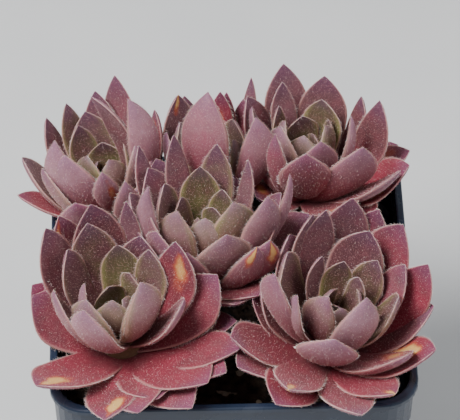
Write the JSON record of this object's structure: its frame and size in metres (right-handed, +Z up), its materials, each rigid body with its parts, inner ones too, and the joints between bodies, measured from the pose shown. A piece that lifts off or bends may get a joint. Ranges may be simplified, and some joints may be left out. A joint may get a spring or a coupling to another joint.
{
  "type": "potted houseleek",
  "caption": "Square nursery pot of soil filled with crowded houseleek rosettes of thick, pointed, downy leaves, some hanging over the rim.",
  "frame": {"origin": "centre of the pot's base, on the surface that it rests on", "axes": "+Z up; -Y the pot's front, the side that faces the camera in the picture; +X to the right as seen from the front"},
  "size_m": [0.1025, 0.1081, 0.1181],
  "materials": {
    "pot_plastic": "blue-black polypropylene, softly glossy, with fine scratches and dust",
    "potting_soil": "dark, gritty peat mix",
    "houseleek_leaf": "matt, finely downy, crimson to olive green with dark purple tips"
  },
  "bodies": {
    "root": {"pot": "pot_plastic", "soil": "potting_soil", "rosette_front_left": "houseleek_leaf", "rosette_front_right": "houseleek_leaf", "rosette_centre": "houseleek_leaf", "rosette_back_left": "houseleek_leaf", "rosette_back_centre": "houseleek_leaf", "rosette_back_right": "houseleek_leaf"}
  },
  "joints": []
}
